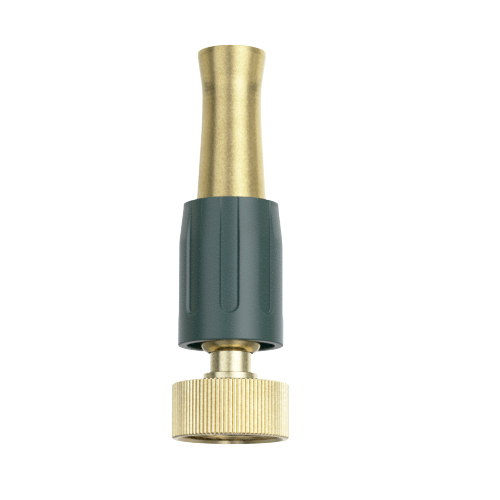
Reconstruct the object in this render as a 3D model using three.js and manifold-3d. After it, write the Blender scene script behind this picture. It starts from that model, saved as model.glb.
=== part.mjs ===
// Twist hose nozzle. A tapered brass barrel screws along a hollow stem, so that its throat moves
// over a fixed plunger and meters the water. A moulded grip is keyed to the barrel, and a knurled
// nut swivels on the tailpiece to take the hose.
// Millimetres. +Z runs along the water's path to the spray tip. The origin is the centre of the
// nut's open rim, on which the nozzle stands.
import * as THREE from "three";
import { mergeVertices } from "three/addons/utils/BufferGeometryUtils.js";
import Module from "manifold-3d";

const wasm = await Module();
wasm.setup();

// ---- Driving dimensions ----
const LENGTH = 106.95; // from the nut's rim to the face of the spray tip, partly opened
const TURNED_SIDES = 32; // facets round a turned piece
const FILLET_STEPS = 3; // facets round a filleted corner
const END_GAP = 0.3; // between end faces that meet
const SLIDE_GAP = 0.05; // between round faces that fit closely

const NUT_RADIUS = 15.875; // 1 1/4 inch bar
const NUT_HEIGHT = 14.95;
const NUT_WALL = 2.4; // the end wall that swivels on the tailpiece
const KNURL_RIDGES = 84;
const KNURL_DEPTH = 0.45;
const HOSE_THREAD_MAJOR_RADIUS = 13.6; // 3/4-11.5 NH
const HOSE_THREAD_MINOR_RADIUS = 12.4;
const HOSE_THREAD_PITCH = 25.4 / 11.5;
const WASHER_THICKNESS = 3;
const WASHER_RADIUS = 13;
const WASHER_HOLE_RADIUS = 7.5;

const TAIL_FLANGE_RADIUS = 10;
const TAIL_FLANGE_THICKNESS = 1.5;
const TAIL_TUBE_RADIUS = 4.75;
const WATERWAY_RADIUS = 3.6;
const COLLAR_RADIUS = 7.5;
const COLLAR_HEIGHT = 2.4;
const NECK_RADIUS = 5.65;
const LAND_RADIUS = 6.05; // the stem between and beyond its threads
const STEM_TUBE_RADIUS = 4.2;
const STEM_TUBE_BORE_RADIUS = 2.75;
const STEM_TUBE_TOP = 78.55;
const WATER_HOLE_RADIUS = 1.6;

const THREAD_LEAD = 2.5; // travel of the barrel in one turn
const BACK_TRAVEL = 5; // towards the nut, to where the plunger shuts the throat
const FORWARD_TRAVEL = 2.5;
const STEM_THREAD_LENGTH = 8;
const STEM_THREAD_RADIUS = 7;
const BARREL_THREAD_RADIUS = 7.25;
const BARREL_THREAD_CREST_RADIUS = 6.3;

const BARREL_END = 23.35; // height of the rolled rear lip at its hole
const BARREL_REAR_RADIUS = 8.1;
const BARREL_SEAT_RADIUS = 9.2; // under the grip
const BARREL_TIP_RADIUS = 9.5;
const BARREL_TIP_LAND = 1.65; // straight part behind the tip's face
const WAIST_RADIUS = 8.18;
const WAIST_HEIGHT = 93.55; // where the taper has blended into the flare
const TAPER = 0.06; // radius gained for each mm from the waist towards the grip
const TAPER_BLEND_RADIUS = 188;
const FLARE_BLEND_RADIUS = 36;
const BORE_RADIUS = 6.25;
const THROAT_RADIUS = 4.3;
const SEAT_LOW = 88.55; // where the bore starts to close in to the throat
const SEAT_LENGTH = 4.5;
const THROAT_LENGTH = 3.5;
const MOUTH_RADIUS = 7.3;
const LIP_THICKNESS = 1.75;
const LIP_RISE = 0.85; // from its hole to its outer corner, before that is rolled
const LIP_HOLE_RADIUS = 6.15;
const LIP_ROLL_RADIUS = 3.15;
const KEYS = 8;
const KEY_WIDTH = 1.2;
const KEY_HEIGHT = 0.4;

const PACKING_HEIGHT = 1.8;
const PACKING_RADIUS = 7.2;
const STEM_RING_SECTION = 2;
const PLUNGER_RING_SECTION = 1.8;
const PLUNGER_RING_MIDDLE_RADIUS = 4;
const PLUNGER_RADIUS = 4.2;
const PINTLE_RADIUS = 2.6;
const DEFLECTOR_RADIUS = 3.4;
const DEFLECTOR_TOP = 99.55;

const GRIP_BOTTOM = 25.25;
const GRIP_TOP = 64.15;
const GRIP_RADIUS = 14.36;
const GRIP_TOP_RADIUS = 13.25;
const GRIP_SHOULDER = 53.55; // where the straight part turns in towards the top
const SKIRT_RADIUS = 11.95; // recess in the grip's rear end
const SKIRT_DEPTH = 4.9;
const FLUTES = 8;
const FLUTE_WIDTH = 5.5;
const FLUTE_FLOOR_RADIUS = 13;
const FLUTE_END = 32.35; // height of the flutes' round lower ends
const GRIP_TURN = THREE.MathUtils.degToRad(-1.9); // how far the grip and its keys are turned

// ---- Heights worked out from them ----
const nutWallLow = NUT_HEIGHT - NUT_WALL;
const tailFlangeTop = nutWallLow - END_GAP;
const tailFlangeLow = tailFlangeTop - TAIL_FLANGE_THICKNESS;
const washerTop = tailFlangeLow - END_GAP;
const washerLow = washerTop - WASHER_THICKNESS;
const collarLow = NUT_HEIGHT + END_GAP;
const collarTop = collarLow + COLLAR_HEIGHT;
const tailTubeTop = collarLow + 8;

const packingGap = 0.1; // the barrel turns round the ring, which stays close in its groove
const packingLow = BARREL_END + LIP_THICKNESS + packingGap;
const packingTop = packingLow + PACKING_HEIGHT;
const barrelThreadLow = packingTop + packingGap;
const stemThreadLow = packingTop + FORWARD_TRAVEL + 0.45; // the ring stops just short of it
const stemThreadTop = stemThreadLow + STEM_THREAD_LENGTH;
const barrelThreadTop = stemThreadTop + BACK_TRAVEL + 1;
const stemRingMiddle = barrelThreadTop + FORWARD_TRAVEL + 2; // stays in the smooth bore
const waterHoleMiddle = stemRingMiddle + 8;

const throatLow = SEAT_LOW + SEAT_LENGTH;
const throatTop = throatLow + THROAT_LENGTH;
const seatSlope = (BORE_RADIUS - THROAT_RADIUS) / SEAT_LENGTH;
// The plunger's ring meets the conical seat when the barrel is fully back.
const seatReach = (PLUNGER_RING_SECTION / 2 + SLIDE_GAP) * Math.hypot(1, seatSlope);
const seatToRing = (BORE_RADIUS - PLUNGER_RING_MIDDLE_RADIUS - seatReach) / seatSlope;
const plungerRingMiddle = SEAT_LOW - BACK_TRAVEL + seatToRing;

const gripShoulderTop = GRIP_TOP - 1; // the barrel's shoulder, let into the grip's top
const gripSkirtTop = GRIP_BOTTOM + SKIRT_DEPTH;

// ---- Materials ----
const brass = new THREE.MeshStandardMaterial({ color: 0xcdb87a, roughness: 0.35, metalness: 1 });
const greenPlastic = new THREE.MeshStandardMaterial({ color: 0x2f504c, roughness: 0.45, metalness: 0 });
const blackRubber = new THREE.MeshStandardMaterial({ color: 0x1c1c1c, roughness: 0.8, metalness: 0 });

// ---- Solids ----
// The solid enclosed by a three.js geometry.
function solidOf(geometry) {
  const bare = geometry.index ? geometry.toNonIndexed() : geometry.clone();
  bare.deleteAttribute("normal");
  bare.deleteAttribute("uv");
  const merged = mergeVertices(bare, 1e-4);
  const triangles = [];
  for (let i = 0; i < merged.index.count; i += 3) {
    const [a, b, c] = [0, 1, 2].map((k) => merged.index.getX(i + k));
    if (a !== b && b !== c && c !== a) triangles.push(a, b, c);
  }
  return new wasm.Manifold(
    new wasm.Mesh({
      numProp: 3,
      vertProperties: merged.attributes.position.array,
      triVerts: new Uint32Array(triangles),
    }),
  );
}

// A solid as a named mesh.
function piece(name, solid, material) {
  const { vertProperties, triVerts } = solid.getMesh();
  const geometry = new THREE.BufferGeometry();
  geometry.setAttribute("position", new THREE.BufferAttribute(vertProperties, 3));
  geometry.setIndex(new THREE.BufferAttribute(triVerts, 1));
  geometry.computeVertexNormals();
  const mesh = new THREE.Mesh(geometry, material);
  mesh.name = name;
  return mesh;
}

// The points round one filleted corner, given its neighbours.
function filletPoints(before, corner, after, radius) {
  const back = before.clone().sub(corner).normalize();
  const ahead = after.clone().sub(corner).normalize();
  const halfAngle = Math.acos(back.dot(ahead)) / 2;
  const centre = back.clone().add(ahead).setLength(radius / Math.sin(halfAngle)).add(corner);
  const reach = radius / Math.tan(halfAngle);
  const start = back.clone().multiplyScalar(reach).add(corner).sub(centre).angle();
  const end = ahead.clone().multiplyScalar(reach).add(corner).sub(centre).angle();
  const turn = THREE.MathUtils.euclideanModulo(end - start + Math.PI, 2 * Math.PI) - Math.PI;
  return Array.from({ length: FILLET_STEPS + 1 }, (_, k) => {
    const angle = start + (turn * k) / FILLET_STEPS;
    return new THREE.Vector2(radius, 0).rotateAround(new THREE.Vector2(), angle).add(centre);
  });
}

// The solid turned from a closed outline of corners [radius, height, fillet].
function turned(corners) {
  const at = corners.map(([radius, height]) => new THREE.Vector2(radius, height));
  const points = corners.flatMap(([, , fillet], i) => {
    const after = at[(i + 1) % at.length];
    return fillet ? filletPoints(at.at(i - 1), at[i], after, fillet) : [at[i]];
  });
  if (THREE.ShapeUtils.isClockWise(points)) points.reverse();
  // An outline with an edge on the axis is left open along that edge, and any other is closed.
  const axisEdge = points.findIndex((p, i) => p.x === 0 && points.at(i - 1).x === 0);
  const profile =
    axisEdge < 0 ? [...points, points[0]] : [...points.slice(axisEdge), ...points.slice(0, axisEdge)];
  return solidOf(new THREE.LatheGeometry(profile, TURNED_SIDES).rotateX(Math.PI / 2));
}

// The solid of a rubber ring of round section.
function roundRing(middleRadius, section, middle) {
  const sectionSides = 8;
  const ring = new THREE.TorusGeometry(middleRadius, section / 2, sectionSides, TURNED_SIDES);
  return solidOf(ring.translate(0, 0, middle));
}

// Copies of a geometry spaced evenly round the axis, as one solid.
function roundTheAxis(geometry, count, firstAngle) {
  const copies = Array.from({ length: count }, (_, i) =>
    solidOf(geometry.clone().rotateZ(firstAngle + (2 * Math.PI * i) / count)),
  );
  return copies.reduce((all, copy) => all.add(copy));
}

// A right-hand ridge, whose middle climbs from low to high and is at high at the angle topAngle.
// It stands on a wall of the radius wall, and sinks into it at both ends.
function threadRidge({ wall, crest, baseWidth, crestWidth, pitch, low, high, topAngle = 0 }) {
  const sidesPerTurn = 20;
  const fadeAngle = Math.PI / 3;
  const sunk = 0.15; // how far the ridge's base lies inside the wall
  const base = wall + Math.sign(wall - crest) * sunk;
  const section = new THREE.Shape([
    new THREE.Vector2(base, -baseWidth / 2),
    new THREE.Vector2(crest, -crestWidth / 2),
    new THREE.Vector2(crest, crestWidth / 2),
    new THREE.Vector2(base, baseWidth / 2),
  ]);
  const length = (2 * Math.PI * (high - low)) / pitch;
  const steps = Math.round((sidesPerTurn * length) / (2 * Math.PI));
  const geometry = new THREE.ExtrudeGeometry(section, { depth: length, steps, bevelEnabled: false });
  const position = geometry.getAttribute("position");
  for (let i = 0; i < position.count; i++) {
    const along = position.getZ(i);
    const height = high - (pitch * along) / (2 * Math.PI) + position.getY(i);
    const fade = Math.min(1, 0.1 + Math.min(along, length - along) / fadeAngle);
    const radius = base + (position.getX(i) - base) * fade;
    const angle = topAngle - along;
    position.setXYZ(i, radius * Math.cos(angle), radius * Math.sin(angle), height);
  }
  return solidOf(geometry);
}

// ---- Hose end ----
// A chamfered blank with straight ridges all round it.
function knurledBlank() {
  const profile = [
    new THREE.Vector2(0, 0),
    new THREE.Vector2(NUT_RADIUS - 0.5, 0),
    new THREE.Vector2(NUT_RADIUS, 0.45),
    new THREE.Vector2(NUT_RADIUS, NUT_HEIGHT - 0.4),
    new THREE.Vector2(NUT_RADIUS - 0.4, NUT_HEIGHT),
    new THREE.Vector2(0, NUT_HEIGHT),
  ];
  const geometry = new THREE.LatheGeometry(profile, 2 * KNURL_RIDGES).rotateX(Math.PI / 2);
  const position = geometry.getAttribute("position");
  for (let i = 0; i < position.count; i++) {
    const column = Math.floor(i / profile.length);
    const radius = Math.hypot(position.getX(i), position.getY(i));
    const grooved = column % 2 === 1 && radius > NUT_RADIUS - KNURL_DEPTH;
    const scale = grooved ? (NUT_RADIUS - KNURL_DEPTH) / radius : 1;
    position.setXYZ(i, position.getX(i) * scale, position.getY(i) * scale, position.getZ(i));
  }
  return solidOf(geometry);
}

function swivelNut() {
  const holeRadius = TAIL_TUBE_RADIUS + END_GAP;
  const mouthRadius = HOSE_THREAD_MAJOR_RADIUS + 0.7;
  const socket = turned([
    [0, -1],
    [mouthRadius, -1],
    [mouthRadius, 0],
    [HOSE_THREAD_MAJOR_RADIUS, 0.8],
    [HOSE_THREAD_MAJOR_RADIUS, nutWallLow],
    [holeRadius, nutWallLow],
    [holeRadius, NUT_HEIGHT + 1],
    [0, NUT_HEIGHT + 1],
  ]);
  const thread = threadRidge({
    wall: HOSE_THREAD_MAJOR_RADIUS,
    crest: HOSE_THREAD_MINOR_RADIUS,
    baseWidth: 1.75,
    crestWidth: 0.35,
    pitch: HOSE_THREAD_PITCH,
    low: 1.8,
    high: washerLow - 1.1,
  });
  return piece("swivel_nut", knurledBlank().subtract(socket).add(thread), brass);
}

function hoseWasher() {
  const washer = turned([
    [WASHER_HOLE_RADIUS, washerLow],
    [WASHER_RADIUS, washerLow],
    [WASHER_RADIUS, washerTop],
    [WASHER_HOLE_RADIUS, washerTop],
  ]);
  return piece("hose_washer", washer, blackRubber);
}

// Its flange holds the nut, and its tube is pressed into the stem.
function tailpiece() {
  const tail = turned([
    [WATERWAY_RADIUS, tailFlangeLow],
    [TAIL_FLANGE_RADIUS, tailFlangeLow, 0.3],
    [TAIL_FLANGE_RADIUS, tailFlangeTop],
    [TAIL_TUBE_RADIUS, tailFlangeTop],
    [TAIL_TUBE_RADIUS, tailTubeTop],
    [WATERWAY_RADIUS, tailTubeTop],
  ]);
  return piece("tailpiece", tail, brass);
}

// ---- Stem and plunger ----
// The water leaves the stem's tube through cross holes and flows on round it.
function stem() {
  const socketRadius = TAIL_TUBE_RADIUS + SLIDE_GAP;
  const socketTop = tailTubeTop + END_GAP;
  const landLow = stemThreadTop + 1;
  const grooveHalf = STEM_RING_SECTION / 2 + 0.25;
  const grooveLow = stemRingMiddle - grooveHalf;
  const grooveTop = stemRingMiddle + grooveHalf;
  const grooveRadius = BORE_RADIUS - STEM_RING_SECTION - 2 * SLIDE_GAP;
  const landTop = grooveTop + 1.5;
  const body = turned([
    [socketRadius, collarLow],
    [COLLAR_RADIUS, collarLow, 0.3],
    [COLLAR_RADIUS, collarTop, 0.8],
    [NECK_RADIUS, collarTop],
    [NECK_RADIUS, stemThreadLow - 0.4],
    [LAND_RADIUS, stemThreadLow],
    [LAND_RADIUS, grooveLow],
    [grooveRadius, grooveLow],
    [grooveRadius, grooveTop],
    [LAND_RADIUS, grooveTop],
    [LAND_RADIUS, landTop],
    [STEM_TUBE_RADIUS, landTop + 1],
    [STEM_TUBE_RADIUS, STEM_TUBE_TOP],
    [STEM_TUBE_BORE_RADIUS, STEM_TUBE_TOP],
    [STEM_TUBE_BORE_RADIUS, landLow + 1],
    [WATERWAY_RADIUS, landLow],
    [WATERWAY_RADIUS, socketTop],
    [socketRadius, socketTop],
  ]);
  const thread = threadRidge({
    wall: LAND_RADIUS,
    crest: STEM_THREAD_RADIUS,
    baseWidth: 1.7,
    crestWidth: 0.7,
    pitch: THREAD_LEAD,
    low: stemThreadLow + 1,
    high: stemThreadTop,
  });
  const drillLength = 4 * STEM_TUBE_RADIUS;
  const drill = new THREE.CylinderGeometry(WATER_HOLE_RADIUS, WATER_HOLE_RADIUS, drillLength, 12);
  const waterHole = drill.translate(0, 0, waterHoleMiddle);
  const crossHoles = roundTheAxis(waterHole, 4, 0);
  return piece("stem", body.add(thread).subtract(crossHoles), brass);
}

function stemRing() {
  const middleRadius = BORE_RADIUS - SLIDE_GAP - STEM_RING_SECTION / 2;
  return piece("stem_o_ring", roundRing(middleRadius, STEM_RING_SECTION, stemRingMiddle), blackRubber);
}

// It plugs the stem's tube, carries the sealing ring and spreads the jet with its flared end.
function plunger() {
  const shankLength = 8;
  const shankRadius = STEM_TUBE_BORE_RADIUS - SLIDE_GAP;
  const headLow = STEM_TUBE_TOP + END_GAP;
  const grooveHalf = PLUNGER_RING_SECTION / 2 + 0.1;
  const grooveLow = plungerRingMiddle - grooveHalf;
  const grooveTop = plungerRingMiddle + grooveHalf;
  const grooveRadius = PLUNGER_RING_MIDDLE_RADIUS - PLUNGER_RING_SECTION / 2 - SLIDE_GAP;
  const body = turned([
    [0, STEM_TUBE_TOP - shankLength],
    [shankRadius, STEM_TUBE_TOP - shankLength],
    [shankRadius, headLow],
    [PLUNGER_RADIUS, headLow],
    [PLUNGER_RADIUS, grooveLow],
    [grooveRadius, grooveLow],
    [grooveRadius, grooveTop],
    [PLUNGER_RADIUS - 0.3, grooveTop],
    [PLUNGER_RADIUS - 0.3, grooveTop + 0.6],
    [PINTLE_RADIUS, grooveTop + 1.4],
    [PINTLE_RADIUS, DEFLECTOR_TOP - 2],
    [DEFLECTOR_RADIUS, DEFLECTOR_TOP - 0.8],
    [DEFLECTOR_RADIUS, DEFLECTOR_TOP],
    [0, DEFLECTOR_TOP],
  ]);
  return piece("plunger", body, brass);
}

function plungerRing() {
  const ring = roundRing(PLUNGER_RING_MIDDLE_RADIUS, PLUNGER_RING_SECTION, plungerRingMiddle);
  return piece("plunger_o_ring", ring, blackRubber);
}

// ---- Barrel ----
// It travels with the barrel, wipes the neck and stops against the stem's thread.
function packingRing() {
  const hole = NECK_RADIUS + 0.1;
  const ring = turned([
    [hole, packingLow],
    [PACKING_RADIUS, packingLow],
    [PACKING_RADIUS, packingTop],
    [hole, packingTop],
  ]);
  return piece("packing_ring", ring, blackRubber);
}

// Ribs of a given radius along the barrel's seat for the grip.
function keyRibs(radius, width, low, high) {
  const inside = BARREL_SEAT_RADIUS - 0.5;
  const rib = new THREE.BoxGeometry(radius - inside, width, high - low);
  rib.translate((radius + inside) / 2, 0, (low + high) / 2);
  return roundTheAxis(rib, KEYS, GRIP_TURN);
}

function barrel() {
  const packingGroove = PACKING_RADIUS + 0.15;
  const lipTop = BARREL_END + LIP_THICKNESS;
  const rearStep = gripSkirtTop + 1;
  const flareSlope = 0.142;
  const flareStart = WAIST_HEIGHT + FLARE_BLEND_RADIUS * Math.tan(Math.atan(flareSlope) / 2);
  const taperStart = WAIST_HEIGHT - TAPER_BLEND_RADIUS * Math.tan(Math.atan(TAPER) / 2);
  const shoulderRadius = WAIST_RADIUS + TAPER * (taperStart - gripShoulderTop);
  const body = turned([
    [LIP_HOLE_RADIUS, BARREL_END],
    [BARREL_REAR_RADIUS, BARREL_END + LIP_RISE, LIP_ROLL_RADIUS],
    [BARREL_REAR_RADIUS, rearStep - 0.8],
    [BARREL_SEAT_RADIUS, rearStep],
    [BARREL_SEAT_RADIUS, gripShoulderTop],
    [shoulderRadius, gripShoulderTop],
    [WAIST_RADIUS, taperStart, TAPER_BLEND_RADIUS],
    [WAIST_RADIUS, flareStart, FLARE_BLEND_RADIUS],
    [BARREL_TIP_RADIUS, LENGTH - BARREL_TIP_LAND],
    [BARREL_TIP_RADIUS, LENGTH, 0.4],
    [MOUTH_RADIUS, LENGTH, 0.4],
    [THROAT_RADIUS, throatTop],
    [THROAT_RADIUS, throatLow],
    [BORE_RADIUS, SEAT_LOW],
    [BORE_RADIUS, barrelThreadTop + 0.6],
    [BARREL_THREAD_RADIUS, barrelThreadTop],
    [BARREL_THREAD_RADIUS, barrelThreadLow],
    [packingGroove, barrelThreadLow],
    [packingGroove, lipTop],
    [LIP_HOLE_RADIUS, lipTop],
  ]);
  // Its ridge runs midway between the turns of the stem's.
  const ridgeTop = barrelThreadTop - 1.2;
  const turnsApart = (ridgeTop - stemThreadTop) / THREAD_LEAD - 0.5;
  const thread = threadRidge({
    wall: BARREL_THREAD_RADIUS,
    crest: BARREL_THREAD_CREST_RADIUS,
    baseWidth: 1.7,
    crestWidth: 0.7,
    pitch: THREAD_LEAD,
    low: barrelThreadLow + 1.2,
    high: ridgeTop,
    topAngle: 2 * Math.PI * turnsApart,
  });
  const keys = keyRibs(BARREL_SEAT_RADIUS + KEY_HEIGHT, KEY_WIDTH, rearStep + 2, gripShoulderTop - 2);
  return piece("barrel", body.add(keys).add(thread), brass);
}

// One flute's cutter: a slot with a round lower end, reaching out along +X.
function fluteCutter() {
  const half = FLUTE_WIDTH / 2;
  const slot = new THREE.Shape();
  slot.absarc(0, FLUTE_END + half, half, 0, Math.PI, true);
  slot.lineTo(-half, GRIP_TOP + 1);
  slot.lineTo(half, GRIP_TOP + 1);
  const depth = GRIP_RADIUS - FLUTE_FLOOR_RADIUS + 3;
  const cutter = new THREE.ExtrudeGeometry(slot, { depth, curveSegments: 8, bevelEnabled: false });
  return cutter.translate(0, 0, FLUTE_FLOOR_RADIUS - 2).rotateX(Math.PI / 2).rotateZ(Math.PI / 2);
}

function gripSleeve() {
  const bore = BARREL_SEAT_RADIUS + SLIDE_GAP;
  const topBore = 9.78; // clears the barrel's shoulder
  const sleeve = turned([
    [SKIRT_RADIUS, GRIP_BOTTOM, 0.4],
    [GRIP_RADIUS, GRIP_BOTTOM, 0.6],
    [GRIP_RADIUS, GRIP_SHOULDER, 40],
    [GRIP_TOP_RADIUS + 0.05, GRIP_TOP - 1.6],
    [GRIP_TOP_RADIUS, GRIP_TOP, 0.3],
    [topBore, GRIP_TOP],
    [topBore, gripShoulderTop - END_GAP],
    [bore, gripShoulderTop - END_GAP],
    [bore, gripSkirtTop],
    [SKIRT_RADIUS, gripSkirtTop],
  ]);
  const core = turned([
    [0, FLUTE_END - 1],
    [FLUTE_FLOOR_RADIUS, FLUTE_END - 1],
    [FLUTE_FLOOR_RADIUS, GRIP_TOP + 2],
    [0, GRIP_TOP + 2],
  ]);
  const flutes = roundTheAxis(fluteCutter(), FLUTES, GRIP_TURN).subtract(core);
  const slotRadius = BARREL_SEAT_RADIUS + KEY_HEIGHT + 0.15;
  const slots = keyRibs(slotRadius, KEY_WIDTH + 0.3, gripSkirtTop - 1, gripShoulderTop - 1.5);
  return piece("grip_sleeve", sleeve.subtract(flutes).subtract(slots), greenPlastic);
}

const nozzle = new THREE.Group();
nozzle.name = "twist_hose_nozzle";
nozzle.add(
  swivelNut(),
  hoseWasher(),
  tailpiece(),
  stem(),
  stemRing(),
  plunger(),
  plungerRing(),
  packingRing(),
  barrel(),
  gripSleeve(),
);

export default nozzle;
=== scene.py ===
"""Looks of the twist hose nozzle: detailed meshes in place of the faceted CAD solids, procedural
brass, moulded plastic and rubber, and a plain pale studio. All lengths in the helpers are mm."""

import math

import bmesh
import bpy
import numpy as np
from mathutils import Matrix, Vector


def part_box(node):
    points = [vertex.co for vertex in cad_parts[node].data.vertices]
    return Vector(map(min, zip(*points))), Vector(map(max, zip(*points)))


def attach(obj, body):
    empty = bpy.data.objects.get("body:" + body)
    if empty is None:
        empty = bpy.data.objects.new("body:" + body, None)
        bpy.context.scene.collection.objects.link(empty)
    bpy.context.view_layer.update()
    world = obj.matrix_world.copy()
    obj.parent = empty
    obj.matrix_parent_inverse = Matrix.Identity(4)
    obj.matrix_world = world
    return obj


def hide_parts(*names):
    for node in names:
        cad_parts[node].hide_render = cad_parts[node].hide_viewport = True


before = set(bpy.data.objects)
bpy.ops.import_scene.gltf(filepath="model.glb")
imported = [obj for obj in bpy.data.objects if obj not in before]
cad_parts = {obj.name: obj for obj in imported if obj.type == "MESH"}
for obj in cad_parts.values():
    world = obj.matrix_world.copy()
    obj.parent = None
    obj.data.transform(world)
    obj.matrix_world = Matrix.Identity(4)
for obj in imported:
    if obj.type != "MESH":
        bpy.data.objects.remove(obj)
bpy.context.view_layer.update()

MM = 0.001
TAU = 2 * math.pi
SHARP = math.radians(40)  # edges that turn more than this are drawn sharp


def height(node):
    """A CAD node's lowest and highest z, in mm."""
    low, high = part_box(node)
    return low.z / MM, high.z / MM


def radius(node):
    """A CAD node's largest radius, in mm."""
    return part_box(node)[1].x / MM


# ---- Meshes ----


def filleted(corners, step=math.radians(9)):
    """A closed outline of (radius, height) points from corners (radius, height, fillet)."""
    points = []
    for i, corner in enumerate(corners):
        at = Vector(corner[:2])
        fillet = corner[2] if len(corner) > 2 else 0
        if not fillet:
            points.append((at.x, at.y))
            continue
        back = (Vector(corners[i - 1][:2]) - at).normalized()
        ahead = (Vector(corners[(i + 1) % len(corners)][:2]) - at).normalized()
        half = math.acos(max(-1, min(1, back.dot(ahead)))) / 2
        centre = at + (back + ahead).normalized() * (fillet / math.sin(half))
        start = at + back * (fillet / math.tan(half)) - centre
        end = at + ahead * (fillet / math.tan(half)) - centre
        a0, a1 = math.atan2(start.y, start.x), math.atan2(end.y, end.x)
        turn = (a1 - a0 + math.pi) % TAU - math.pi
        count = max(2, math.ceil(abs(turn) / step), math.ceil(abs(turn) * fillet / 1.5))
        for k in range(count + 1):
            angle = a0 + turn * k / count
            points.append((centre.x + fillet * math.cos(angle), centre.y + fillet * math.sin(angle)))
    return points


def supported(points, rows=(), outside=0):
    """The outline with a point close to both ends of each long edge, which keeps flats flat under
    smooth shading, with no edge over 4 mm, and with edges further out than a radius cut at rows,
    given as (lowest height, highest height, spacing)."""
    heights = np.concatenate([np.arange(*row) for row in rows]) if rows else np.array([])
    out = []
    for (r0, z0), (r1, z1) in zip(points, points[1:] + points[:1]):
        out.append((r0, z0))
        if r0 == 0 and r1 == 0:
            continue
        length = math.hypot(r1 - r0, z1 - z0)
        parts = math.ceil(length / 4)
        cuts = {k / parts for k in range(1, parts)}
        if length > 0.5:
            cuts |= {0.1 / length, 1 - 0.1 / length}
        if min(r0, r1) > outside and abs(z1 - z0) > 0.01:
            cuts |= {float(t) for t in (heights - z0) / (z1 - z0) if 0.02 < t < 0.98}
        out += [(r0 + (r1 - r0) * t, z0 + (z1 - z0) * t) for t in sorted(cuts)]
    return out


def revolved(name, points, angles=192, shape=None):
    """A closed mesh turned from an outline. angles is how many columns, or their own angles. shape
    gives the radius from radius, height and angle, for ridges, flutes and threads."""
    theta = np.arange(angles) * TAU / angles if isinstance(angles, int) else np.asarray(angles)
    outline = np.array(points, float)
    ahead_r, ahead_z = np.roll(outline, -1, 0).T
    area = np.sum(outline[:, 0] * ahead_z - ahead_r * outline[:, 1])
    if area < 0:
        outline = outline[::-1]
    rows, columns = len(outline), len(theta)
    r = np.repeat(outline[:, 0][None, :], columns, 0)
    z = np.repeat(outline[:, 1][None, :], columns, 0)
    a = np.repeat(theta[:, None], rows, 1)
    if shape:
        r = shape(r, z, a)
    verts = np.stack([r * np.cos(a), r * np.sin(a), z], 2) * MM
    on_axis = outline[:, 0] == 0
    index = np.arange(rows * columns).reshape(columns, rows)
    index[:, on_axis] = index[0, on_axis]
    ahead = np.roll(index, -1, 0)
    faces = []
    for j in range(rows):
        j2 = (j + 1) % rows
        corners = [index[:, j], ahead[:, j], ahead[:, j2], index[:, j2]]
        if on_axis[j] and on_axis[j2]:
            continue
        if on_axis[j]:
            corners.pop(1)
        elif on_axis[j2]:
            corners.pop(3)
        faces.append(np.stack(corners, 1))
    loops = np.concatenate([f.ravel() for f in faces])
    sides = np.concatenate([np.full(len(f), f.shape[1]) for f in faces])
    used, loops = np.unique(loops, return_inverse=True)
    mesh = bpy.data.meshes.new(name)
    mesh.vertices.add(len(used))
    mesh.vertices.foreach_set("co", verts.reshape(-1, 3)[used].ravel())
    mesh.loops.add(len(loops))
    mesh.loops.foreach_set("vertex_index", loops)
    mesh.polygons.add(len(sides))
    mesh.polygons.foreach_set("loop_start", np.cumsum(sides) - sides)
    mesh.update(calc_edges=True)
    mesh.polygons.foreach_set("use_smooth", [True] * len(mesh.polygons))
    mesh.set_sharp_from_angle(angle=SHARP)
    obj = bpy.data.objects.new(name, mesh)
    bpy.context.scene.collection.objects.link(obj)
    return obj


def smooth(t):
    """A step from 0 to 1 with a flat start and end."""
    t = np.clip(t, 0, 1)
    return t * t * t * (t * (6 * t - 15) + 10)


THREAD_RUNOUT = 1.2  # height over which a thread rises from its wall


def thread(r, z, a, wall, crest, pitch, low, high, crest_width, root_width, phase):
    """Radius of a wall with a right-hand ridge whose middle is at the height phase at angle 0."""
    turns = (z - phase) / pitch - a / TAU
    off = np.abs(turns - np.round(turns)) * pitch
    ridge = 1 - smooth((off - crest_width / 2) / ((root_width - crest_width) / 2))
    fade = smooth((z - low) / THREAD_RUNOUT) * smooth((high - z) / THREAD_RUNOUT)
    on_wall = np.abs(r - wall) < 0.02
    return np.where(on_wall, r + (crest - wall) * ridge * fade, r)


# ---- Sizes from the CAD frame, and a few that its boxes don't show ----
NUT_LOW, NUT_TOP = height("swivel_nut")
NUT_R = radius("swivel_nut")
STEM_LOW, STEM_TOP = height("stem")
BARREL_LOW, TIP = height("barrel")
GRIP_LOW, GRIP_TOP = height("grip_sleeve")
GRIP_R = 14.36  # of its lands; the flutes make its box a little narrower
PACK_LOW, PACK_TOP = height("packing_ring")
WASHER_LOW, WASHER_TOP = height("hose_washer")
TAIL_LOW, TAIL_TOP = height("tailpiece")
PLUNGER_LOW, PLUNGER_TOP = height("plunger")
STEM_RING = sum(height("stem_o_ring")) / 2
PLUNGER_RING = sum(height("plunger_o_ring")) / 2
STEM_THREAD_LOW = PACK_TOP + 2.95  # room for the ring to come forward
STEM_THREAD_TOP = STEM_THREAD_LOW + 8
BARREL_THREAD_TOP = STEM_THREAD_TOP + 6  # room for the barrel to go back
LEAD = 2.5
GRIP_TURN = math.radians(-1.9)  # from the X axis to the middle of the first flute
FLUTES = 8

# ---- Materials ----


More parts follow.
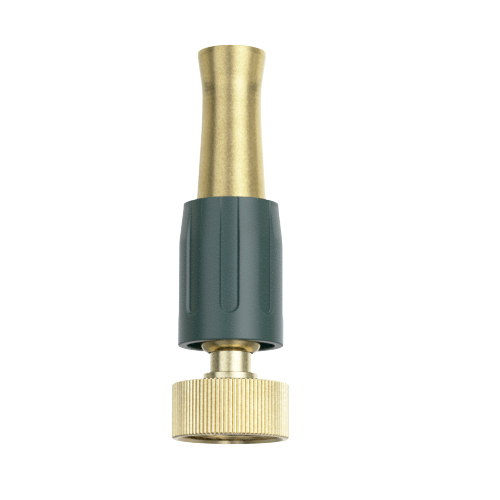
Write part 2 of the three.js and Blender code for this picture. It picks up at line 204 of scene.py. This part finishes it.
class Nodes:
    """Short calls for building a material's node tree."""

    def __init__(self, name):
        self.material = bpy.data.materials.new(name)
        self.material.use_nodes = True
        self.tree = self.material.node_tree
        self.tree.nodes.clear()
        self.out = self.add("ShaderNodeOutputMaterial")
        self.shader = self.add("ShaderNodeBsdfPrincipled")
        self.link(self.shader.outputs[0], self.out.inputs["Surface"])
        self.position = self.add("ShaderNodeTexCoord").outputs["Object"]

    def add(self, kind, **settings):
        node = self.tree.nodes.new(kind)
        for key, value in settings.items():
            setattr(node, key, value)
        return node

    def link(self, a, b):
        self.tree.links.new(a, b)

    def set(self, **values):
        for key, value in values.items():
            self.shader.inputs[key.replace("_", " ")].default_value = value

    def scaled(self, x, y, z):
        """The position stretched by three scales."""
        node = self.add("ShaderNodeVectorMath", operation="MULTIPLY")
        self.link(self.position, node.inputs[0])
        node.inputs[1].default_value = (x, y, z)
        return node.outputs[0]

    def noise(self, size_mm, detail=3, stretch=(1, 1, 1), roughness=0.5, vector=None):
        """Noise with features of about size_mm."""
        node = self.add("ShaderNodeTexNoise")
        node.inputs["Scale"].default_value = 1
        node.inputs["Detail"].default_value = detail
        node.inputs["Roughness"].default_value = roughness
        scale = 1 / (size_mm * MM)
        self.link(vector or self.scaled(*(scale * s for s in stretch)), node.inputs["Vector"])
        return node.outputs["Fac"]

    def ranged(self, value, low, high, to_low, to_high):
        node = self.add("ShaderNodeMapRange")
        self.link(value, node.inputs["Value"])
        node.inputs["From Min"].default_value = low
        node.inputs["From Max"].default_value = high
        node.inputs["To Min"].default_value = to_low
        node.inputs["To Max"].default_value = to_high
        return node.outputs["Result"]

    def math(self, operation, a, b):
        node = self.add("ShaderNodeMath", operation=operation)
        for socket, value in zip(node.inputs, (a, b)):
            if isinstance(value, (int, float)):
                socket.default_value = value
            else:
                self.link(value, socket)
        return node.outputs[0]

    def mix(self, factor, a, b, blend="MIX"):
        node = self.add("ShaderNodeMix", data_type="RGBA", blend_type=blend)
        for socket, value in zip((node.inputs[0], node.inputs[6], node.inputs[7]), (factor, a, b)):
            if isinstance(value, (int, float, tuple)):
                socket.default_value = value
            else:
                self.link(value, socket)
        return node.outputs[2]

    def bump(self, value, height_mm, normal=None):
        node = self.add("ShaderNodeBump")
        node.inputs["Strength"].default_value = 1
        node.inputs["Distance"].default_value = height_mm * MM
        self.link(value, node.inputs["Height"])
        if normal:
            self.link(normal, node.inputs["Normal"])
        return node.outputs["Normal"]


SATIN_BRASS = (0.585, 0.486, 0.245)
BRIGHT_BRASS = (0.78, 0.69, 0.45)
NUT_BRASS = (0.82, 0.705, 0.44)
DARK_GREEN = (0.002, 0.053, 0.051, 1)
LIGHT_GREEN = (0.004, 0.063, 0.061, 1)
# A paler green painted on sharp edges as a highlight.
EDGE_HIGHLIGHT_GREEN = (0.1, 0.17, 0.16, 1)


def tinted(colour, scales):
    """A colour with its channels scaled, and an alpha."""
    return tuple(min(1, c * s) for c, s in zip(colour, scales)) + (1,)


def brass(name, colour, grain_bump, line_bump, rough):
    """Brass with a tumbled grain, lathe lines, patina and painted shade in its hollows, and a
    painted highlight on its sharp edges. The bumps' heights are in mm."""
    m = Nodes(name)
    cloud = m.noise(6.0, 3)
    mottle = m.noise(0.8, 3, roughness=0.6)
    speckle = m.noise(0.45, 2, roughness=0.7)
    lines = m.noise(0.16, 3, (0.04, 0.04, 1))
    dark = tinted(colour, (0.86, 0.83, 0.74))
    light = tinted(colour, (1.18, 1.19, 1.26))
    # The colour of the hollows: patina, with painted shade.
    patina_and_shade = tinted(colour, (0.55, 0.47, 0.3))
    base = m.mix(m.ranged(cloud, 0.35, 0.65, 0, 1), colour + (1,), dark)
    base = m.mix(m.ranged(mottle, 0.35, 0.68, 0.0, 0.4), base, light)
    base = m.mix(m.ranged(speckle, 0.5, 0.66, 0.0, 0.9), base, light)
    base = m.mix(m.ranged(speckle, 0.5, 0.34, 0.0, 0.9), base, dark)
    edge = m.add("ShaderNodeNewGeometry").outputs["Pointiness"]
    # Painted shade, with some patina: darker and browner in concave hollows.
    base = m.mix(m.ranged(edge, 0.495, 0.45, 0, 1), base, patina_and_shade)
    # Painted highlight: paler on sharp convex edges and knurl crests.
    base = m.mix(m.ranged(edge, 0.52, 0.6, 0, 0.6), base, light)
    m.link(base, m.shader.inputs["Base Color"])
    m.set(Metallic=1.0)
    spread = m.ranged(speckle, 0.3, 0.7, rough - 0.04, rough + 0.05)
    m.link(spread, m.shader.inputs["Roughness"])
    normal = m.bump(mottle, grain_bump * 0.5)
    normal = m.bump(speckle, grain_bump, normal)
    normal = m.bump(lines, line_bump, normal)
    m.link(normal, m.shader.inputs["Normal"])
    return m.material


def moulded_green(name):
    """Moulded plastic with a faint grain, and paler edges, a painted highlight."""
    m = Nodes(name)
    cloud = m.noise(9.0, 3)
    fine = m.noise(0.3, 2, roughness=0.65)
    base = m.mix(m.ranged(cloud, 0.3, 0.7, 0, 1), DARK_GREEN, LIGHT_GREEN)
    edge = m.add("ShaderNodeNewGeometry").outputs["Pointiness"]
    # Painted highlight: paler on sharp convex edges.
    base = m.mix(m.ranged(edge, 0.51, 0.6, 0, 0.35), base, EDGE_HIGHLIGHT_GREEN)
    m.link(base, m.shader.inputs["Base Color"])
    m.set(IOR=1.58, Specular_IOR_Level=0.84)
    m.link(m.ranged(fine, 0.3, 0.7, 0.22, 0.29), m.shader.inputs["Roughness"])
    m.link(m.bump(fine, 0.003), m.shader.inputs["Normal"])
    return m.material


def rubber(name):
    """Matt black rubber."""
    m = Nodes(name)
    fine = m.noise(0.4, 3)
    base = m.mix(fine, (0.012, 0.012, 0.012, 1), (0.035, 0.034, 0.033, 1))
    m.link(base, m.shader.inputs["Base Color"])
    m.link(m.ranged(fine, 0.3, 0.7, 0.55, 0.75), m.shader.inputs["Roughness"])
    m.link(m.bump(fine, 0.02), m.shader.inputs["Normal"])
    return m.material


satin_brass = brass("satin_brass", SATIN_BRASS, grain_bump=0.012, line_bump=0.001, rough=0.19)
turned_brass = brass("turned_brass", BRIGHT_BRASS, grain_bump=0.002, line_bump=0.004, rough=0.13)
nut_brass = brass("nut_brass", NUT_BRASS, grain_bump=0.003, line_bump=0.001, rough=0.09)
green_grip = moulded_green("green_grip")
black_rubber = rubber("black_rubber")


def finished(obj, material, body, node):
    """Gives a piece its material and its moving body, and hides the CAD node that it stands for."""
    obj.data.materials.append(material)
    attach(obj, body)
    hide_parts(node)
    return obj


# ---- Hose end ----
RIDGES = 84
RIDGE_DEPTH = 0.44
PITCH = TAU * NUT_R / RIDGES
CREST = 0.33  # half the width of a ridge's crest
CROWN = 0.07  # how much lower the crest's edges are
KNURL_IN_R = NUT_R - 0.8  # what lies outside this is knurled
THREAD_R, THREAD_CREST_R, THREAD_PITCH = 13.6, 12.4, 25.4 / 11.5


def nut_shape(r, z, a):
    """Crowned ridges with V grooves between them, cut to the chamfers, and the hose thread inside."""
    t = a * RIDGES / TAU
    across = np.abs(t - np.round(t)) * PITCH
    crown = CROWN * np.minimum(across / CREST, 1) ** 2
    wall = np.clip((across - CREST) / (PITCH / 2 - CREST), 0, 1)
    ridge = NUT_R - crown - (RIDGE_DEPTH - CROWN) * wall
    r = np.where(r > KNURL_IN_R, np.minimum(r, ridge), r)
    return thread(r, z, a, wall=THREAD_R, crest=THREAD_CREST_R, pitch=THREAD_PITCH, low=0.9,
                  high=WASHER_LOW, crest_width=0.35, root_width=1.75, phase=1.8)


def nut():
    hole = 5.05
    wall = NUT_TOP - 2.4
    outline = filleted([
        (THREAD_R + 0.75, NUT_LOW, 0.15),
        (NUT_R - 0.45, NUT_LOW, 0.2),
        (NUT_R, NUT_LOW + 0.45, 0.3),
        (NUT_R, NUT_TOP - 0.4, 0.15),
        (NUT_R - 0.45, NUT_TOP, 0.2),
        (hole, NUT_TOP, 0.2),
        (hole, wall, 0.2),
        (THREAD_R, wall, 0.3),
        (THREAD_R, NUT_LOW + 0.85),
    ])
    points = supported(outline, [(0.8, 3, 0.12), (3, WASHER_LOW, 0.25)])
    # Columns of points from the middle of a ridge to the middle of a groove.
    half = [0.11, 0.22, CREST, CREST + 0.03, 0.42, 0.5, PITCH / 2 - 0.03]
    ridge = [-across for across in reversed(half)] + [0] + half
    columns = np.concatenate([(np.array(ridge) + k * PITCH) / NUT_R for k in range(RIDGES)])
    return revolved("nut", points, columns, nut_shape)


finished(nut(), nut_brass, "nut", "swivel_nut")


def washer():
    outer, inner = radius("hose_washer"), 7.5
    outline = filleted([
        (inner, WASHER_LOW, 0.25),
        (outer, WASHER_LOW, 0.35),
        (outer, WASHER_TOP, 0.35),
        (inner, WASHER_TOP, 0.25),
    ])
    return revolved("washer", supported(outline), 160)


finished(washer(), black_rubber, "nut", "hose_washer")


TAIL_BORE_R, TAIL_TUBE_R = 3.6, 4.75


def tail():
    flange = radius("tailpiece")
    flange_top = TAIL_LOW + 1.5
    outline = filleted([
        (TAIL_BORE_R, TAIL_LOW, 0.3),
        (flange, TAIL_LOW, 0.3),
        (flange, flange_top, 0.3),
        (TAIL_TUBE_R, flange_top),
        (TAIL_TUBE_R, TAIL_TOP, 0.2),
        (TAIL_BORE_R, TAIL_TOP, 0.2),
    ])
    return revolved("tail", supported(outline), 160)


finished(tail(), turned_brass, "stem", "tailpiece")

# ---- Stem and plunger ----
COLLAR_R, NECK_R, LAND_R, STEM_CREST_R = 7.5, 5.65, 6.05, 7.0
SOCKET_R, SEAL_GROOVE_R = 4.8, 4.15
TUBE_R, TUBE_BORE_R = 4.2, 2.75
CROSS_HOLE_R = 1.6
CREST_WIDTH, ROOT_WIDTH = 0.7, 1.7  # of the ridges on the stem and in the barrel


def stem_shape(r, z, a):
    """The thread outside."""
    on_thread = (z > STEM_THREAD_LOW) & (z < STEM_THREAD_TOP + 0.9)
    threaded = thread(r, z, a, wall=LAND_R, crest=STEM_CREST_R, pitch=LEAD, low=STEM_THREAD_LOW,
                      high=STEM_THREAD_TOP + 1, crest_width=CREST_WIDTH, root_width=ROOT_WIDTH,
                      phase=STEM_THREAD_TOP)
    return np.where(on_thread, threaded, r)


def drill_rods(at_height):
    """Two crossed rods, the shape of the holes that let the water out of the stem's tube."""
    bm = bmesh.new()
    for axis in (Vector((1, 0, 0)), Vector((0, 1, 0))):
        made = bmesh.ops.create_cone(
            bm,
            cap_ends=True,
            segments=48,
            radius1=CROSS_HOLE_R * MM,
            radius2=CROSS_HOLE_R * MM,
            depth=12 * MM,
            matrix=axis.to_track_quat("Z", "Y").to_matrix().to_4x4(),
        )
        bmesh.ops.translate(bm, verts=made["verts"], vec=(0, 0, at_height * MM))
    mesh = bpy.data.meshes.new("drill")
    bm.to_mesh(mesh)
    bm.free()
    rods = bpy.data.objects.new("drill", mesh)
    bpy.context.scene.collection.objects.link(rods)
    return rods


def drilled(obj, rods):
    """The object with the rods cut out of its mesh."""
    cut = obj.modifiers.new("cross_holes", "BOOLEAN")
    cut.object = rods
    cut.operation = "DIFFERENCE"
    cut.solver = "MANIFOLD"
    bpy.context.view_layer.update()
    evaluated = obj.evaluated_get(bpy.context.evaluated_depsgraph_get())
    mesh = bpy.data.meshes.new_from_object(evaluated)
    mesh.materials.clear()
    mesh.polygons.foreach_set("material_index", [0] * len(mesh.polygons))
    mesh.polygons.foreach_set("use_smooth", [True] * len(mesh.polygons))
    mesh.set_sharp_from_angle(angle=SHARP)
    obj.modifiers.clear()
    obj.data = mesh
    bpy.data.objects.remove(rods)
    return obj


def stem():
    collar_top = STEM_LOW + 2.4
    groove_low, groove_top = STEM_RING - 1.25, STEM_RING + 1.25
    land_low, land_top = STEM_THREAD_TOP + 1, STEM_RING + 2.75
    socket_top = TAIL_TOP + 0.3
    outline = filleted([
        (SOCKET_R, STEM_LOW),
        (COLLAR_R, STEM_LOW, 0.35),
        (COLLAR_R, collar_top, 0.25),
        (NECK_R, collar_top, 0.15),
        (NECK_R, STEM_THREAD_LOW - 0.4, 0.1),
        (LAND_R, STEM_THREAD_LOW),
        (LAND_R, groove_low, 0.1),
        (SEAL_GROOVE_R, groove_low, 0.1),
        (SEAL_GROOVE_R, groove_top, 0.1),
        (LAND_R, groove_top, 0.1),
        (LAND_R, land_top, 0.1),
        (TUBE_R, land_top + 1, 0.3),
        (TUBE_R, STEM_TOP, 0.15),
        (TUBE_BORE_R, STEM_TOP),
        (TUBE_BORE_R, land_low + 1),
        (TAIL_BORE_R, land_low),
        (TAIL_BORE_R, socket_top),
        (SOCKET_R, socket_top),
    ])
    points = supported(outline, [(STEM_THREAD_LOW, land_low, 0.15)], 5)
    return drilled(revolved("stem", points, 160, stem_shape), drill_rods(STEM_RING + 8))


finished(stem(), turned_brass, "stem", "stem")


def rubber_ring(name, middle_radius, section, middle):
    """An O-ring, from the radius and the height of its section's middle and its thickness."""
    half = section / 2
    steps = 24
    angles = [TAU * k / steps for k in range(steps)]
    points = [(middle_radius + half * math.cos(a), middle + half * math.sin(a)) for a in angles]
    return revolved(name, points, 128)


stem_ring = rubber_ring("stem_seal", middle_radius=5.2, section=2, middle=STEM_RING)
finished(stem_ring, black_rubber, "stem", "stem_o_ring")
plunger_ring = rubber_ring("plunger_seal", middle_radius=4, section=1.8, middle=PLUNGER_RING)
finished(plunger_ring, black_rubber, "stem", "plunger_o_ring")


PLUG_R, HEAD_R, RING_GROOVE_R, NOSE_R, PINTLE_R, DEFLECTOR_R = 2.7, 4.2, 3.05, 3.9, 2.6, 3.4


def plunger():
    groove_low, groove_top = PLUNGER_RING - 1, PLUNGER_RING + 1
    head_low = STEM_TOP + 0.3
    outline = filleted([
        (0, PLUNGER_LOW),
        (PLUG_R, PLUNGER_LOW, 0.3),
        (PLUG_R, head_low),
        (HEAD_R, head_low, 0.2),
        (HEAD_R, groove_low, 0.1),
        (RING_GROOVE_R, groove_low),
        (RING_GROOVE_R, groove_top),
        (NOSE_R, groove_top, 0.1),
        (NOSE_R, groove_top + 0.6, 0.15),
        (PINTLE_R, groove_top + 1.4, 0.3),
        (PINTLE_R, PLUNGER_TOP - 2, 0.4),
        (DEFLECTOR_R, PLUNGER_TOP - 0.8, 0.15),
        (DEFLECTOR_R, PLUNGER_TOP, 0.15),
        (0, PLUNGER_TOP),
    ])
    return revolved("plunger", supported(outline), 128)


finished(plunger(), turned_brass, "stem", "plunger")

# ---- Barrel ----
REAR_R, SEAT_R, TIP_R, WAIST_R = 8.1, 9.2, 9.5, 8.18
LIP_HOLE_R, PACKING_BORE_R, BORE_R, THROAT_R, MOUTH_R = 6.15, 7.35, 6.25, 4.3, 7.3
BARREL_THREAD_R, BARREL_CREST_R = 7.25, 6.3
WAIST = TIP - 13.4
TAPER, FLARE = 0.06, 0.142  # slopes below and above the waist
TAPER_CURVE, FLARE_CURVE = 188, 36  # radii of the curves that join them to it
RIB_HALF, RIB_HEIGHT = 0.65, 0.4
SLOT_HALF, SLOT_DEPTH = 0.8, 0.5
KEY_EDGE = 0.1  # width of the slope at the sides of a rib or a slot


def barrel_shape(r, z, a):
    """Key ribs on the seat and the thread inside."""
    t = (a - GRIP_TURN) * FLUTES / TAU
    across = np.abs(t - np.round(t)) * TAU / FLUTES * SEAT_R
    along = smooth((z - GRIP_LOW - 7.6) / 0.4) * smooth((GRIP_TOP - 3 - z) / 0.4)
    rib = smooth((RIB_HALF - across) / KEY_EDGE) * along
    r = np.where(np.abs(r - SEAT_R) < 0.01, r + RIB_HEIGHT * rib, r)
    return thread(r, z, a, wall=BARREL_THREAD_R, crest=BARREL_CREST_R, pitch=LEAD, low=PACK_TOP + 0.1,
                  high=BARREL_THREAD_TOP, crest_width=CREST_WIDTH, root_width=ROOT_WIDTH,
                  phase=STEM_THREAD_TOP + LEAD / 2)


def barrel():
    lip_top = PACK_LOW - 0.1
    rear_step = GRIP_LOW + 5.9
    flare_start = WAIST + FLARE_CURVE * math.tan(math.atan(FLARE) / 2)
    taper_start = WAIST - TAPER_CURVE * math.tan(math.atan(TAPER) / 2)
    shoulder = GRIP_TOP - 1
    outline = filleted([
        (LIP_HOLE_R, BARREL_LOW),
        (REAR_R, BARREL_LOW + 0.85, 3.1),
        (REAR_R, rear_step - 0.8, 0.2),
        (SEAT_R, rear_step),
        (SEAT_R, shoulder),
        (WAIST_R + TAPER * (taper_start - shoulder), shoulder, 0.15),
        (WAIST_R, taper_start, TAPER_CURVE),
        (WAIST_R, flare_start, FLARE_CURVE),
        (TIP_R, TIP - 1.65, 1.5),
        (TIP_R, TIP, 0.4),
        (MOUTH_R, TIP, 0.4),
        (THROAT_R, WAIST + 3, 1.0),
        (THROAT_R, WAIST - 0.5, 0.5),
        (BORE_R, WAIST - 5, 0.5),
        (BORE_R, BARREL_THREAD_TOP + 0.6, 0.1),
        (BARREL_THREAD_R, BARREL_THREAD_TOP),
        (BARREL_THREAD_R, PACK_TOP + 0.1),
        (PACKING_BORE_R, PACK_TOP + 0.1),
        (PACKING_BORE_R, lip_top, 0.1),
        (LIP_HOLE_R, lip_top, 0.2),
    ])
    points = supported(outline, [(PACK_TOP, BARREL_THREAD_TOP, 0.2)])
    return revolved("barrel", points, 192, barrel_shape)


finished(barrel(), satin_brass, "barrel", "barrel")


def packing():
    inner, outer = 5.75, 7.2
    outline = filleted([
        (inner, PACK_LOW, 0.25),
        (outer, PACK_LOW, 0.2),
        (outer, PACK_TOP, 0.2),
        (inner, PACK_TOP, 0.25),
    ])
    return revolved("packing", supported(outline), 128)


finished(packing(), black_rubber, "packing", "packing_ring")

# ---- Grip ----
GRIP_BORE_R, TOP_BORE_R, SKIRT_BORE_R = 9.25, 9.78, 11.95
GRIP_IN_R = 12.5  # what lies outside this is fluted
SHOULDER = GRIP_TOP - 10.6
FLUTE_FLOOR_R = 13.4
FLUTE_HALF = 2.75
FLUTE_END = GRIP_LOW + 7.1
FLUTE_LIP = 0.1  # how far a flute's rounded edge reaches past its outline
FLUTE_WALL = 0.66
FLOOR_SLOPE = 0.024  # half the flutes' slope above the shoulder; they are level below it


def grip_shape(r, z, a):
    """Flutes with rounded edges outside and key slots in the bore."""
    t = (a - GRIP_TURN) * FLUTES / TAU
    across = np.abs(t - np.round(t)) * TAU / FLUTES * GRIP_R
    down = np.minimum(z - FLUTE_END - FLUTE_HALF, 0)
    inside = FLUTE_HALF - np.hypot(across, down)
    cut = smooth((inside + FLUTE_LIP) / FLUTE_WALL)
    above = z - SHOULDER
    flute_floor = FLUTE_FLOOR_R - FLOOR_SLOPE * (above + np.hypot(above, 1.5))
    outer = (r > GRIP_IN_R) & (z > GRIP_LOW + 3)
    r = np.where(outer, r - cut * np.maximum(r - flute_floor, 0), r)
    across_bore = across * SEAT_R / GRIP_R
    slot = smooth((SLOT_HALF - across_bore) / KEY_EDGE) * smooth((GRIP_TOP - 2.6 - z) / 0.3)
    return np.where(np.abs(r - GRIP_BORE_R) < 0.01, r + SLOT_DEPTH * slot, r)


def grip():
    skirt_top = GRIP_LOW + 4.9
    bore_top = GRIP_TOP - 1.3
    outline = filleted([
        (SKIRT_BORE_R, GRIP_LOW, 0.35),
        (GRIP_R, GRIP_LOW, 0.4),
        (GRIP_R, SHOULDER, 15),
        (13.3, GRIP_TOP - 1.6, 1),
        (13.25, GRIP_TOP, 0.3),
        (TOP_BORE_R, GRIP_TOP, 0.15),
        (TOP_BORE_R, bore_top),
        (GRIP_BORE_R, bore_top),
        (GRIP_BORE_R, skirt_top, 0.2),
        (SKIRT_BORE_R, skirt_top, 0.6),
    ])
    rows = [(FLUTE_END - 0.3, FLUTE_END + 3, 0.08), (FLUTE_END + 4, GRIP_TOP, 1)]
    points = supported(outline, rows, GRIP_IN_R)
    # Columns close together in the flutes' walls, wider on their floors, and widest on the lands.
    wall = np.arange(FLUTE_HALF - 0.6, FLUTE_HALF + 0.15, 0.05)
    floor = np.arange(-FLUTE_HALF + 0.7, FLUTE_HALF - 0.6, 0.15)
    dense = np.concatenate([-wall[::-1], floor, wall]) / GRIP_R
    land = np.linspace(dense[-1], TAU / FLUTES + dense[0], 14)[1:-1]
    sector = np.concatenate([dense, land])
    angles = np.concatenate([sector + GRIP_TURN + k * TAU / FLUTES for k in range(FLUTES)])
    return revolved("grip", points, angles, grip_shape)


finished(grip(), green_grip, "barrel", "grip_sleeve")

# ---- Studio ----
scene = bpy.context.scene
scene.view_settings.view_transform = "Standard"
# All light is divided by PEAK, and the view curve brings it back, with a soft shoulder so that
# bright metal keeps its colour. The curve's points are (brightness in the scene, value shown).
PEAK = 2.2
VIEW_CURVE = ((0.35, 0.345), (0.7, 0.7), (1.0, 0.865), (1.3, 0.95), (1.7, 0.995))
scene.view_settings.use_curve_mapping = True
tone = scene.view_settings.curve_mapping
for brightness, shown in VIEW_CURVE:
    tone.curves[3].points.new(brightness / PEAK, shown)
tone.update()

world = bpy.data.worlds.new("studio")
scene.world = world
world.use_nodes = True
wt = world.node_tree
wt.nodes.clear()


def wnode(kind, **settings):
    """A node of the world's shader."""
    node = wt.nodes.new(kind)
    for key, value in settings.items():
        setattr(node, key, value)
    return node


# The studio's surround by azimuth from the camera's side, in degrees, positive to its right. The
# brightness comes next, then the share of it left in a band just above the horizon, and how warm
# the colour is outside that band.
SURROUND = [
    (-180, 1.5, 1.3, 0), (-150, 0.75, 1.2, 0), (-130, 0.92, 0.65, 0.15), (-112, 0.8, 0.2, 0.4),
    (-98, 0.68, 0.22, 0.7), (-86, 0.45, 0.26, 0.7), (-73, 0.26, 0.35, 0.3), (-66, 0.46, 0.9, 0),
    (-58, 0.93, 1.05, 0), (-48, 1.1, 1.1, 0), (-36, 1.16, 1.05, 0), (-28, 1.1, 0.9, 0),
    (-18, 0.84, 0.85, 0), (-8, 0.6, 0.9, 0), (0, 0.8, 1, 0), (8, 1.2, 1.05, 0), (16, 1.8, 1.1, 0),
    (30, 2.3, 1.15, 0), (48, 1.7, 1.15, 0), (58, 1.15, 1.05, 0), (66, 0.76, 0.85, 0.1),
    (74, 0.6, 0.6, 0.3), (84, 0.7, 0.28, 0.6), (98, 0.64, 0.26, 0.7), (106, 0.9, 0.25, 0.3),
    (114, 1.2, 0.45, 0), (130, 1.25, 0.85, 0), (150, 1.35, 1.0, 0), (180, 1.5, 1.3, 0),
]
BRIGHTEST = 3.0  # the ramps hold the brightness divided by this
direction = wnode("ShaderNodeTexCoord").outputs["Generated"]
split = wnode("ShaderNodeSeparateXYZ")
wt.links.new(direction, split.inputs[0])
back = wnode("ShaderNodeMath", operation="MULTIPLY")
wt.links.new(split.outputs["Y"], back.inputs[0])
back.inputs[1].default_value = -1
turn = wnode("ShaderNodeMath", operation="ARCTAN2")
wt.links.new(split.outputs["X"], turn.inputs[0])
wt.links.new(back.outputs[0], turn.inputs[1])
share = wnode("ShaderNodeMapRange")
wt.links.new(turn.outputs[0], share.inputs["Value"])
share.inputs["From Min"].default_value = -math.pi
share.inputs["From Max"].default_value = math.pi


def surround_ramp(colour):
    """A colour ramp over the azimuth, from a function of a row of the table."""
    ramp = wnode("ShaderNodeValToRGB")
    wt.links.new(share.outputs["Result"], ramp.inputs["Fac"])
    elements = ramp.color_ramp.elements
    for azimuth, *_ in SURROUND[1:-1]:
        elements.new(azimuth / 360 + 0.5)
    for element, row in zip(elements, SURROUND):
        element.color = colour(*row[1:]) + (1,)
    return ramp.outputs["Color"]


def by_height(low, high, at_low, at_high):
    """A value that changes smoothly with the sine of the elevation."""
    node = wnode("ShaderNodeMapRange", interpolation_type="SMOOTHSTEP")
    wt.links.new(split.outputs["Z"], node.inputs["Value"])
    for name, value in zip(("From Min", "From Max", "To Min", "To Max"), (low, high, at_low, at_high)):
        node.inputs[name].default_value = value
    return node.outputs["Result"]


def main_colour(level, _, warmth):
    tint = (1 + 0.03 * warmth, 1 - 0.03 * warmth, 1 - 0.35 * warmth)
    return tuple(level / BRIGHTEST * t for t in tint)


def band_colour(level, band_share, _):
    """Slightly blue."""
    return tuple(level * band_share / BRIGHTEST * t for t in (0.94, 1, 1.05))


below_band = by_height(0.08, 0.14, 1, 0)
above_band = by_height(0.17, 0.22, 0, 1)
outside_band = wnode("ShaderNodeMath", operation="ADD")
wt.links.new(below_band, outside_band.inputs[0])
wt.links.new(above_band, outside_band.inputs[1])
blend = wnode("ShaderNodeMix", data_type="RGBA")
wt.links.new(outside_band.outputs[0], blend.inputs[0])
wt.links.new(surround_ramp(band_colour), blend.inputs[6])
wt.links.new(surround_ramp(main_colour), blend.inputs[7])
studio = wnode("ShaderNodeBackground")
wt.links.new(blend.outputs[2], studio.inputs["Color"])
# A little brighter near the horizon than higher up, and dim below it.
strength = wnode("ShaderNodeMath", operation="MULTIPLY")
wt.links.new(by_height(-0.1, -0.03, 0.32 * BRIGHTEST / PEAK, BRIGHTEST / PEAK), strength.inputs[0])
wt.links.new(by_height(0.06, 0.13, 1.25, 1), strength.inputs[1])
wt.links.new(strength.outputs[0], studio.inputs["Strength"])
# The camera itself sees plain white.
seen = wnode("ShaderNodeBackground")
seen.inputs["Color"].default_value = (1, 1, 1, 1)
seen.inputs["Strength"].default_value = 1.0
path = wnode("ShaderNodeLightPath")
choose = wnode("ShaderNodeMixShader")
wt.links.new(path.outputs["Is Camera Ray"], choose.inputs[0])
wt.links.new(studio.outputs[0], choose.inputs[1])
wt.links.new(seen.outputs[0], choose.inputs[2])
world_out = wnode("ShaderNodeOutputWorld")
wt.links.new(choose.outputs[0], world_out.inputs["Surface"])

# The floor: seen from above only, because the camera looks up at the nozzle from below it.
FLOOR_HALF = 3.0
floor_mesh = bpy.data.meshes.new("floor")
floor_corners = [(x * FLOOR_HALF, y * FLOOR_HALF, 0) for x, y in ((-1, -1), (1, -1), (1, 1), (-1, 1))]
floor_mesh.from_pydata(floor_corners, [], [(0, 1, 2, 3)])
floor = bpy.data.objects.new("floor", floor_mesh)
scene.collection.objects.link(floor)
floor_nodes = Nodes("floor")
floor_nodes.set(Base_Color=(0.86, 0.86, 0.85, 1), Roughness=0.8)
clear = floor_nodes.add("ShaderNodeBsdfTransparent")
one_way = floor_nodes.add("ShaderNodeMixShader")
floor_nodes.link(floor_nodes.add("ShaderNodeNewGeometry").outputs["Backfacing"], one_way.inputs[0])
floor_nodes.link(floor_nodes.shader.outputs[0], one_way.inputs[1])
floor_nodes.link(clear.outputs[0], one_way.inputs[2])
floor_nodes.link(one_way.outputs[0], floor_nodes.out.inputs["Surface"])
floor_mesh.materials.append(floor_nodes.material)
floor.visible_glossy = False
floor.visible_diffuse = False
floor.visible_shadow = False
floor.visible_transmission = False

# ---- Camera, in metres ----
ELEVATION = math.radians(-9.6)
DISTANCE = 0.681
# The nozzle stands left of the picture's middle, and leans a little to the right.
PAN = math.atan(0.00756)
LEAN = math.radians(0.21)
target = Vector((0, 0, 0.0517))
camera = bpy.data.objects.new("camera", bpy.data.cameras.new("camera"))
scene.collection.objects.link(camera)
scene.camera = camera
camera.data.sensor_width = 36
camera.data.lens = 180
camera.data.clip_start = 0.01
level = Vector((0, math.cos(ELEVATION), -math.sin(ELEVATION)))
upward = Vector((0, math.sin(ELEVATION), math.cos(ELEVATION)))
sideways = Vector((1, 0, 0))
aim = level * math.cos(PAN) + sideways * math.sin(PAN)
across = sideways * math.cos(PAN) - level * math.sin(PAN)
right = across * math.cos(LEAN) + upward * math.sin(LEAN)
up = upward * math.cos(LEAN) - across * math.sin(LEAN)
camera.matrix_world = Matrix((right, up, -aim)).transposed().to_4x4()
camera.location = target - level * DISTANCE
camera.data.dof.use_dof = False
